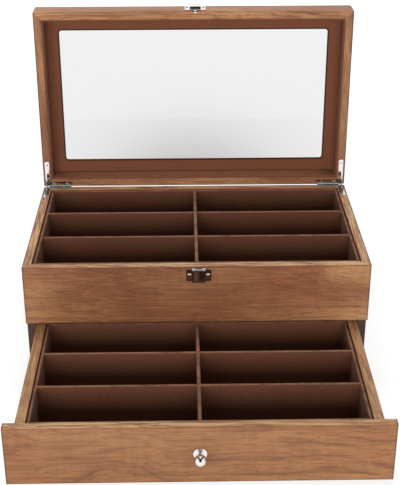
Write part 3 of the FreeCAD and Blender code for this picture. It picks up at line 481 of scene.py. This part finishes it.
# Each wood's grain axis, tones and figure. heart is the middle of the heartwood along the grain
# and its half length, both in mm, and its share.
WOODS = {
    # ends=0.92 makes the sides' front end grain nearly black: partly the end grain's own dark
    # stain, partly painted shade.
    "case_side_wood": dict(grain=Y_AXIS, tones=WALNUT, seed=1.3, ends=0.92, arrises=(SIDE_ARRIS,)),
    "case_front_wood": dict(grain=X_AXIS, tones=WALNUT, seed=5.3, sway=22, rim_share=0.48,
                            heart=(-30, 145, 0.72), arrises=PANEL_ARRISES),
    "case_back_wood": dict(grain=X_AXIS, tones=WALNUT, seed=7.7),
    "lid_side_wood": dict(grain=Z_AXIS, tones=LID_SIDE, seed=2.9, rim=Y_AXIS, rim_share=0.0,
                          arrises=(SIDE_ARRIS,)),
    "lid_end_wood": dict(grain=X_AXIS, tones=LID_END, seed=5.6, rim=Y_AXIS, rim_share=0.12),
    "lid_back_wood": dict(grain=X_AXIS, tones=LID_SIDE, seed=4.4, rim=Y_AXIS, rim_share=0.0),
    "lid_top_wood": dict(grain=X_AXIS, tones=WALNUT, seed=8.4, rim_share=0.0),
    "drawer_front_wood": dict(grain=X_AXIS, tones=DRAWER_FRONT, seed=3.4, sway=34, rim_share=0.46,
                              veins=0.7, heart=(-60, 200, 0.46), arrises=DRAWER_ARRISES),
    "drawer_side_wood": dict(grain=Y_AXIS, tones=DRAWER_SIDE, seed=6.2, rim_share=0.2),
    "drawer_back_wood": dict(grain=X_AXIS, tones=DRAWER_SIDE, seed=6.9, rim_share=0.2),
    "plywood": dict(grain=X_AXIS, tones=PLYWOOD, seed=9.1, rim_share=0.2),
}

MATERIALS = {name: wood(name, **look) for name, look in WOODS.items()}
MATERIALS.update({
    # The inserts' flock is a darker copy of the lid's, as painted shade for their hollows.
    "flock": flock("flock", INSERT_FLOCK_SHADED_TONE, rim=Z_AXIS),
    "flock_plain": flock("flock_plain", LID_FLOCK_TONE),
    "bezel_flock": flock("bezel_flock", LID_FLOCK_TONE, window=BEZEL_WINDOW),
    "base_flock": flock("base_flock", BASE_FLOCK_TONE),
    "nickel": plated("nickel", (0.82, 0.81, 0.79, 1), 0.08),
    "spring_wire": plated("spring_wire", (0.55, 0.55, 0.56, 1), 0.24, 0.12),
    "brad_steel": plated("brad_steel", (0.16, 0.14, 0.13, 1), 0.42, 0.2),
    "glass": pane("glass"),
})

FINISHES = {
    "case_side_wood": ("case_left_side", "case_right_side"),
    "case_front_wood": ("case_front_panel",),
    "case_back_wood": ("case_back",),
    "lid_side_wood": ("lid_left_rail", "lid_right_rail"),
    "lid_end_wood": ("lid_front_rail",),
    "lid_back_wood": ("lid_back_rail",),
    "lid_top_wood": ("lid_top_panel",),
    "drawer_front_wood": ("drawer_front",),
    "drawer_side_wood": ("drawer_left_side", "drawer_right_side"),
    "drawer_back_wood": ("drawer_back",),
    "plywood": ("case_bottom", "tray_floor", "drawer_bottom"),
    "bezel_flock": ("lid_bezel",),
    "base_flock": ("base_sheet",),
    "spring_wire": ("latch_spring",),
    "brad_steel": ("drawer_brads", "knob_screw"),
    "glass": ("lid_glass",),
}

# How far the sharp edges of each kind of finish are eased
EASED = {"wood": 0.22 * MM, "flock": 0.25 * MM, "nickel": 0.10 * MM}
EASED_ANGLE = 28
WELD_GAP = 0.002 * MM


def finish_of(node):
    """The name of the material that a node of the frame gets."""
    for finish, members in FINISHES.items():
        if node in members:
            return finish
    if any(word in node for word in ("liner", "divider", "insert")):
        return "flock_plain" if node.startswith("lid_") else "flock"
    return "nickel"


def ease_edges(obj, width):
    """Rounds a node's sharp edges a little, over its own unchanged mesh."""
    if "custom_normal" in obj.data.attributes:
        obj.data.attributes.remove(obj.data.attributes["custom_normal"])
    weld = obj.modifiers.new("weld", "WELD")
    weld.merge_threshold = WELD_GAP
    bevel = obj.modifiers.new("ease", "BEVEL")
    bevel.width = width
    bevel.segments = 2
    bevel.limit_method = "ANGLE"
    bevel.angle_limit = math.radians(EASED_ANGLE)
    bevel.use_clamp_overlap = True
    normals = obj.modifiers.new("normals", "WEIGHTED_NORMAL")
    normals.keep_sharp = True


for node_name, node in nodes.items():
    finish = finish_of(node_name)
    node.data.materials.clear()
    node.data.materials.append(MATERIALS[finish])
    if finish != "glass":
        kind = next((kind for kind in ("wood", "flock") if kind in finish), "nickel")
        ease_edges(node, EASED[kind])


# Small hardware that stands in for plain CAD solids. Each piece is modelled along Z, in mm where
# MM isn't written. Angles are in degrees.
POINT_GAP = 0.001 * MM
SMOOTH_ANGLE, COIL_SMOOTH_ANGLE = 35, 60

# Screws: sides of the head and the shank, rows of points in a turn of the thread, its root and
# ridge as parts of the radius, its point in radii and the share left at its tip, and how much
# narrower the cross is at its bottom
SCREW_SIDES, THREAD_SIDES, THREAD_ROWS = 24, 16, 6
THREAD_ROOT, THREAD_RIDGE = 0.78, 0.2
POINT_LENGTH, POINT_TIP = 1.6, 0.15
RECESS_TAPER = 0.45

# Knob: radius of the ball, how far out its middle is, radius of the neck, and how far past the
# neck's edge the ball starts, in radians
KNOB_SIDES, KNOB_STEPS = 72, 28
KNOB_BALL, KNOB_REACH, KNOB_NECK = 5.3, 9.0, 2.1
KNOB_NECK_BLEND = 0.06
KNOB_FLANGE = [
    (0, 0), (5.95, 0), (6.08, 0.12), (6.1, 0.35), (6.0, 0.56), (5.7, 0.7), (5.2, 0.8), (4.4, 0.95),
    (3.6, 1.15), (3.0, 1.42), (2.55, 1.8), (2.25, 2.3), (KNOB_NECK, 2.85), (KNOB_NECK, 3.6),
]
KNOB_SCREW_HEAD = 2.2 * MM

BRAD_SIDES = 16
BRAD_PROFILE = [
    (0, -0.2), (0.28, -0.17), (0.45, -0.06), (0.62, -0.02), (0.69, -0.1), (0.69, -11.9), (0, -12.0),
]

WIRE_RADIUS, WIRE_SIDES = 0.3 * MM, 12
COIL_TURNS, COIL_STEPS = 3, 32

LID_HINGE = joint("lid_hinge")
LID_PIVOT = Vector(LID_HINGE["pos_m"])
LID_TURN = Matrix.Rotation(math.radians(-LID_HINGE["range_deg"][1]), 4, "X")
LID_AT_REST = Matrix.Translation(LID_PIVOT) @ LID_TURN @ Matrix.Translation(-LID_PIVOT)


def islands(node_name, undo):
    """Lowest and highest corner of each solid of a node, with the node moved by undo first."""
    mesh = bmesh.new()
    mesh.from_mesh(nodes[node_name].data)
    mesh.transform(undo)
    bmesh.ops.remove_doubles(mesh, verts=mesh.verts, dist=POINT_GAP)
    waiting = set(mesh.verts)
    found = []
    while waiting:
        front = [waiting.pop()]
        points = []
        while front:
            vert = front.pop()
            points.append(vert.co.copy())
            for edge in vert.link_edges:
                other = edge.other_vert(vert)
                if other in waiting:
                    waiting.remove(other)
                    front.append(other)
        low = Vector([min(point[axis] for point in points) for axis in range(3)])
        high = Vector([max(point[axis] for point in points) for axis in range(3)])
        found.append((low, high))
    mesh.free()
    return sorted(found, key=lambda corners: tuple(round(value, 5) for value in corners[0]))


def ring_point(radius, share, height):
    """A point that far round a circle about Z, at a height, all in mm."""
    angle = 2 * math.pi * share
    return radius * MM * math.cos(angle), radius * MM * math.sin(angle), height * MM


def bridge(mesh, upper, lower):
    """Skin between two rings of points, either of which may be a single point."""
    sides = max(len(upper), len(lower))
    for index in range(sides):
        after = (index + 1) % sides
        if len(upper) == 1:
            mesh.faces.new((upper[0], lower[index], lower[after]))
        elif len(lower) == 1:
            mesh.faces.new((upper[index], lower[0], upper[after]))
        else:
            mesh.faces.new((upper[index], lower[index], lower[after], upper[after]))


def lathe(mesh, profile, sides):
    """Turned skin about Z from (radius, height) points in mm; radius 0 closes it."""
    rings = []
    for radius, height in profile:
        shares = [index / sides for index in range(sides)] if radius else [0]
        rings.append([mesh.verts.new(ring_point(radius, share, height)) for share in shares])
    for upper, lower in zip(rings, rings[1:]):
        bridge(mesh, upper, lower)


def thread(mesh, radius, top, length, pitch):
    """Threaded shank with a point, from top down, in mm."""
    steps = int(length / pitch * THREAD_ROWS)
    rings = []
    for step in range(steps + 1):
        drop = length * step / steps
        taper = min(1.0, (length - drop) / (radius * POINT_LENGTH) + POINT_TIP)
        ring = []
        for index in range(THREAD_SIDES):
            share = index / THREAD_SIDES
            ridge = abs(((drop / pitch + share) % 1.0) * 2 - 1)
            reach = radius * taper * (THREAD_ROOT + THREAD_RIDGE * ridge)
            ring.append(mesh.verts.new(ring_point(reach, share, top - drop)))
        rings.append(ring)
    for upper, lower in zip(rings, rings[1:]):
        bridge(mesh, upper, lower)
    mesh.faces.new(rings[0][::-1])
    mesh.faces.new(rings[-1])


def mesh_data(name, mesh, material, smooth=SMOOTH_ANGLE):
    """Mesh data of one bmesh, smooth but for its sharp edges."""
    bmesh.ops.recalc_face_normals(mesh, faces=mesh.faces)
    for edge in mesh.edges:
        edge.smooth = len(edge.link_faces) != 2 or edge.calc_face_angle() < math.radians(smooth)
    for face in mesh.faces:
        face.smooth = True
    data = bpy.data.meshes.new(name)
    mesh.to_mesh(data)
    mesh.free()
    data.materials.append(MATERIALS[material])
    return data


def linked(name, data):
    """A new object of the scene."""
    made = bpy.data.objects.new(name, data)
    bpy.context.scene.collection.objects.link(made)
    return made


def crossed(name, head, recess, material):
    """Turned head with a cross recess cut into its top."""
    mesh = bmesh.new()
    lathe(mesh, head, SCREW_SIDES)
    body = linked(name, mesh_data(name, mesh, material))
    arm, width, depth = recess
    top = head[0][1]
    mesh = bmesh.new()
    for turn in (0, math.pi / 2):
        block = bmesh.ops.create_cube(mesh, size=1.0)["verts"]
        bmesh.ops.scale(mesh, vec=(2 * arm * MM, width * MM, 2 * depth * MM), verts=block)
        for vert in block:
            if vert.co.z < 0:
                vert.co.x *= RECESS_TAPER
        bmesh.ops.rotate(mesh, cent=ORIGIN, matrix=Matrix.Rotation(turn, 3, "Z"), verts=block)
        bmesh.ops.translate(mesh, vec=(0, 0, top * MM), verts=block)
    cutter = linked(name + "_cutter", mesh_data(name + "_cutter", mesh, material))
    cut = body.modifiers.new("cut", "BOOLEAN")
    cut.operation = "DIFFERENCE"
    cut.use_self = True
    cut.object = cutter
    bpy.context.view_layer.update()
    graph = bpy.context.evaluated_depsgraph_get()
    made = bpy.data.meshes.new_from_object(body.evaluated_get(graph))
    for spare in (body, cutter):
        bpy.data.objects.remove(spare)
    return made


def screw_data(name, head, recess, shank, material="nickel"):
    """Screw with its bearing plane at 0, all in mm.

    head is a profile for lathe(), recess the arm, width and depth of the cross, and shank the
    radius, top, length and pitch of the thread.
    """
    skin = crossed(name + "_head", head, recess, material)
    mesh = bmesh.new()
    thread(mesh, *shank)
    mesh.from_mesh(skin)
    bpy.data.meshes.remove(skin)
    return mesh_data(name, mesh, material)


HINGE_SCREW = screw_data(
    "hinge_screw",
    [(0, 0.12), (0.5, 0.11), (1.0, 0.06), (1.32, 0.0), (1.38, -0.06), (0.78, -0.98), (0.78, -1.1),
     (0, -1.1)],
    (0.85, 0.36, 0.7),
    (0.78, -1.0, 7.9, 0.7),
)
PAN_SCREW = screw_data(
    "pan_screw",
    [(0, 0.98), (0.5, 0.96), (1.0, 0.87), (1.45, 0.66), (1.75, 0.38), (1.88, 0.12), (1.88, 0.02),
     (0, 0.02)],
    (1.05, 0.42, 0.6),
    (0.97, 0.02, 6.9, 0.8),
)
PAN_HEAD = 1.0 * MM
KNOB_SCREW = screw_data(
    "knob_machine_screw",
    [(0, 2.15), (1.2, 2.1), (2.3, 1.85), (3.1, 1.35), (3.5, 0.6), (3.55, 0.05), (0, 0.05)],
    (1.7, 0.7, 1.4),
    (1.86, 0.05, 12.8, 0.7),
    "brad_steel",
)


def seated(name, data, place, way, body, spin=0.0):
    """A copy of a piece modelled along Z, set at place with its Z along way."""
    piece = linked(name, data)
    turn = Vector(way).to_track_quat("Z", "Y").to_matrix().to_4x4()
    piece.matrix_world = Matrix.Translation(place) @ turn @ Matrix.Rotation(spin, 4, "Z")
    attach(piece, body)
    return piece


def add_copies(node_name, name, data, body, way, sunk=0.0, spins=(0.0, 0.0),
               stand=Matrix.Identity(4)):
    """A copy of a piece in the place of each solid of a node.

    way is one axis of the stand, which is how the node is turned, and the copies' heads point that
    way. Their bearing planes lie sunk under the solids' ends, and spins is the turn of the first
    copy about its own axis and what each next one adds.
    """
    for index, (low, high) in enumerate(islands(node_name, stand.inverted())):
        place = [(first + last) / 2 for first, last in zip(low, high)]
        for axis, side in enumerate(way):
            if side:
                place[axis] = (high if side > 0 else low)[axis] - side * sunk
        head = stand.to_3x3() @ Vector(way)
        spin = spins[0] + spins[1] * index
        piece = seated(f"{name}_{index + 1}", data, stand @ Vector(place), head, body, spin)
        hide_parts(node_name)


def add_screws():
    """Countersunk screws of the hinge leaves and round-head screws of the latch and its keeper."""
    add_copies("case_hinge_screws", "case_hinge_screw", HINGE_SCREW, "case", (0, 0, 1),
               spins=(0.0, 0.7))
    add_copies("lid_hinge_screws", "lid_hinge_screw", HINGE_SCREW, "lid", (0, 0, -1),
               spins=(0.0, 1.1), stand=LID_AT_REST)
    add_copies("latch_base_screws", "latch_base_screw", PAN_SCREW, "case", (0, -1, 0),
               sunk=PAN_HEAD, spins=(0.4, 1.0))
    add_copies("keeper_screws", "keeper_screw", PAN_SCREW, "lid", (0, -1, 0),
               sunk=PAN_HEAD, spins=(0.0, 0.9), stand=LID_AT_REST)


def add_knob():
    """Turned knob with a rolled flange, and the screw that holds it from inside."""
    low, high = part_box("drawer_knob")
    face = Vector(((low[0] + high[0]) / 2, high[1], (low[2] + high[2]) / 2))
    profile = list(KNOB_FLANGE)
    start = math.asin(KNOB_NECK / KNOB_BALL) + KNOB_NECK_BLEND
    for step in range(KNOB_STEPS + 1):
        angle = start + (math.pi - start) * step / KNOB_STEPS
        radius = 0 if step == KNOB_STEPS else KNOB_BALL * math.sin(angle)
        profile.append((radius, KNOB_REACH - KNOB_BALL * math.cos(angle)))
    mesh = bmesh.new()
    lathe(mesh, profile, KNOB_SIDES)
    data = mesh_data("knob", mesh, "nickel")
    piece = seated("ball_knob", data, face, (0, -1, 0), "drawer")
    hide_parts("drawer_knob")
    head = Vector((face.x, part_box("knob_screw")[1][1] - KNOB_SCREW_HEAD, face.z))
    piece = seated("knob_fixing_screw", KNOB_SCREW, head, (0, 1, 0), "drawer")
    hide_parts("knob_screw")


def add_brads():
    """Wire brads set just under the surface, with the punch's dimple."""
    mesh = bmesh.new()
    lathe(mesh, BRAD_PROFILE, BRAD_SIDES)
    data = mesh_data("brad", mesh, "brad_steel")
    add_copies("drawer_brads", "drawer_brad", data, "drawer", (0, 0, 1))


def add_spring():
    """Coil of round wire about the lever's pin."""
    low, high = (Vector(corner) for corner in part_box("latch_spring"))
    center = (low + high) / 2
    radius = (high.z - low.z) / 2 - WIRE_RADIUS
    rise = (high.x - low.x - 2 * WIRE_RADIUS) / COIL_TURNS
    mesh = bmesh.new()
    rings = []
    for step in range(COIL_TURNS * COIL_STEPS + 1):
        angle = 2 * math.pi * step / COIL_STEPS
        out = Vector((0, math.cos(angle), math.sin(angle)))
        along = Vector((rise / (2 * math.pi), -radius * math.sin(angle), radius * math.cos(angle)))
        side = along.normalized().cross(out)
        spot = center + out * radius
        spot.x = low.x + WIRE_RADIUS + rise * step / COIL_STEPS
        ring = []
        for index in range(WIRE_SIDES):
            turn = 2 * math.pi * index / WIRE_SIDES
            wall = out * math.cos(turn) + side * math.sin(turn)
            ring.append(mesh.verts.new(spot + wall * WIRE_RADIUS))
        rings.append(ring)
    for first, second in zip(rings, rings[1:]):
        bridge(mesh, first, second)
    mesh.faces.new(rings[0])
    mesh.faces.new(rings[-1][::-1])
    coil = linked("lever_coil", mesh_data("lever_coil", mesh, "spring_wire", COIL_SMOOTH_ANGLE))
    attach(coil, "case")
    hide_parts("latch_spring")


# The camera: the photograph's frame and focal length in pixels, its place in metres, and its
# turns in degrees
PHOTO_WIDTH, PHOTO_HEIGHT = 400, 485
FOCAL_PIXELS = 1074.5
CAMERA_PLACE = (-12.55 * MM, -1021.3 * MM, 608.6 * MM)
CAMERA_PITCH = 26.355
CAMERA_YAW = 0.961
CAMERA_ROLL = -0.089
SENSOR_HEIGHT = 24.0
CLIP_START = 0.01

# The floor: its half width and how far it lies under the object, the grey on which the camera sees
# the shadow, the grey that lights the object, and the glow that brings it to white near the
# object and far away, with the distances that count as near and far
FLOOR_HALF, FLOOR_DROP = 12.0, 0.2 * MM
FLOOR_SHADE, FLOOR_BOUNCE = 0.34, 0.78
FLOOR_GLOW, GLOW_REACH = (0.76, 0.98), (0.45, 1.5)

# The painted shadow on the floor behind the box that shows through the pane: its depth, its
# spread along X and Y, and where its middle is along Y
BACK_SHADE = 0.4
BACK_SHADE_X, BACK_SHADE_Y = 0.09, 0.19
BACK_SHADE_PLACE = 0.35

# The world: its light on the object, and the dark gap in the white that metal mirrors. The gap has
# a stem in front and two arms that lean outwards, measured in the parts of a unit direction.
WORLD_LIGHT = 0.32
GAP_LEVEL, GAP_SOFT = 0.03, 0.04
STEM_HALF, STEM_RISE, STEM_FRONT = 0.34, (-0.12, 0.0), (-0.3, -0.45)
ARM_SLANT, ARM_MIDDLE, ARM_HALF, ARM_RISE = 0.48, 0.53, 0.2, (0.14, 0.24)


def add_camera():
    """The camera that took the photograph, as fitted to the box's corners."""
    pitch, yaw, roll = (math.radians(a) for a in (CAMERA_PITCH, CAMERA_YAW, CAMERA_ROLL))
    reach = math.cos(pitch)
    forward = Vector((math.sin(yaw) * reach, math.cos(yaw) * reach, -math.sin(pitch)))
    right = Vector((math.cos(yaw), -math.sin(yaw), 0))
    up = right.cross(forward)
    turned_right = right * math.cos(roll) + up * math.sin(roll)
    turned_up = up * math.cos(roll) - right * math.sin(roll)
    data = bpy.data.cameras.new("camera")
    data.sensor_fit = "VERTICAL"
    data.sensor_height = SENSOR_HEIGHT
    data.sensor_width = SENSOR_HEIGHT * PHOTO_WIDTH / PHOTO_HEIGHT
    data.lens = FOCAL_PIXELS / PHOTO_HEIGHT * SENSOR_HEIGHT
    data.clip_start = CLIP_START
    camera = linked("camera", data)
    rows = Matrix((turned_right, turned_up, -forward)).transposed().to_4x4()
    camera.matrix_world = Matrix.Translation(CAMERA_PLACE) @ rows
    bpy.context.scene.camera = camera


def add_floor():
    """A plain floor that is white to the camera and to metal, keeps a soft shadow, and shows a
    painted shadow behind the box through glass.
    """
    mesh = bpy.data.meshes.new("floor")
    corners = [(x * FLOOR_HALF, y * FLOOR_HALF, 0) for x, y in ((-1, -1), (1, -1), (1, 1), (-1, 1))]
    mesh.from_pydata(corners, [], [(0, 1, 2, 3)])
    floor = linked("floor", mesh)
    floor.location.z = -FLOOR_DROP
    s = Shader("floor")
    paths = s.node("LightPath").outputs
    seen = s.calc("MAXIMUM", paths["Is Camera Ray"], paths["Is Glossy Ray"])
    shade = s.node("BsdfDiffuse", {"Color": grey(FLOOR_SHADE)}).outputs[0]
    near, far = FLOOR_GLOW
    glow = s.emission(s.step(s.length(s.place()), *GLOW_REACH, far, near))
    bright = s.node("AddShader", {0: shade, 1: glow}).outputs[0]
    plain = s.node("BsdfDiffuse", {"Color": grey(FLOOR_BOUNCE)}).outputs[0]
    mixed = s.node("MixShader", {0: seen, 1: plain, 2: bright}).outputs[0]
    # Painted shadow behind the box, seen only through glass.
    scale, shift = (1 / BACK_SHADE_X, 1 / BACK_SHADE_Y, 0), (0, -BACK_SHADE_PLACE / BACK_SHADE_Y, 0)
    offset = s.scaled(s.place(), scale, shift)
    square = s.vector("DOT_PRODUCT", offset, offset)["Value"]
    fall = s.calc("EXPONENT", s.calc("MULTIPLY", square, -0.5))
    through = s.emission(s.calc("MULTIPLY_ADD", fall, -BACK_SHADE, 1.0))
    shown = s.node("MixShader", {0: paths["Is Transmission Ray"], 1: mixed, 2: through}).outputs[0]
    mesh.materials.append(s.finish(shown))


def add_world():
    """White to the camera and through glass. Metal mirrors it with a dark Y-shaped gap in front."""
    world = bpy.data.worlds.new("studio")
    bpy.context.scene.world = world
    w = Nodes(world)
    paths = w.node("LightPath").outputs
    glossy = paths["Is Glossy Ray"]
    across, back, up = w.parts(w.node("TexCoord").outputs["Generated"])
    aside = w.calc("ABSOLUTE", across)

    def band(value, half):
        return w.step(value, half + GAP_SOFT, half)

    stem = w.calc("MULTIPLY", w.step(up, *STEM_RISE), w.step(back, *STEM_FRONT))
    stem = w.calc("MULTIPLY", band(aside, STEM_HALF), stem)
    slant = w.calc("MULTIPLY_ADD", back, -ARM_SLANT, aside)
    arms = w.calc("MULTIPLY", band(w.away(slant, ARM_MIDDLE), ARM_HALF), w.step(up, *ARM_RISE))
    gap = w.calc("MULTIPLY", w.calc("MAXIMUM", stem, arms), glossy)
    white = w.calc("MAXIMUM", paths["Is Camera Ray"], paths["Is Transmission Ray"])
    white = w.calc("MAXIMUM", glossy, white)
    level = w.node("MapRange", {"Value": white, "To Min": WORLD_LIGHT, "To Max": 1.0}).outputs[0]
    level = w.node("MapRange", {"Value": gap, "To Min": level, "To Max": GAP_LEVEL}).outputs[0]
    sky = w.node("Background", {"Color": WHITE, "Strength": level}).outputs[0]
    w.node("OutputWorld", {"Surface": sky})


def add_lamp(name, place, aim, size, watts, tint=(1, 1, 1)):
    """A soft box that points at aim. Metal doesn't mirror it, only the world's white."""
    data = bpy.data.lights.new(name, "AREA")
    data.shape = "RECTANGLE"
    data.size, data.size_y = size
    data.energy = watts
    data.color = tint
    lamp = linked(name, data)
    lamp.location = place
    lamp.rotation_mode = "QUATERNION"
    lamp.rotation_quaternion = (Vector(aim) - Vector(place)).to_track_quat("-Z", "Y")
    lamp.visible_glossy = False


add_screws()
add_knob()
add_brads()
add_spring()

add_camera()
add_floor()
add_world()
middle = (cad_low + cad_high) / 2
add_lamp("front_box", (-0.3, -2.2, 0.56), middle, (2.4, 0.9), 47.0, (1.0, 0.985, 0.96))
add_lamp("top_box", (0.0, 0.45, 1.8), middle, (1.4, 0.6), 20.0)

bpy.context.scene.view_settings.view_transform = "Standard"
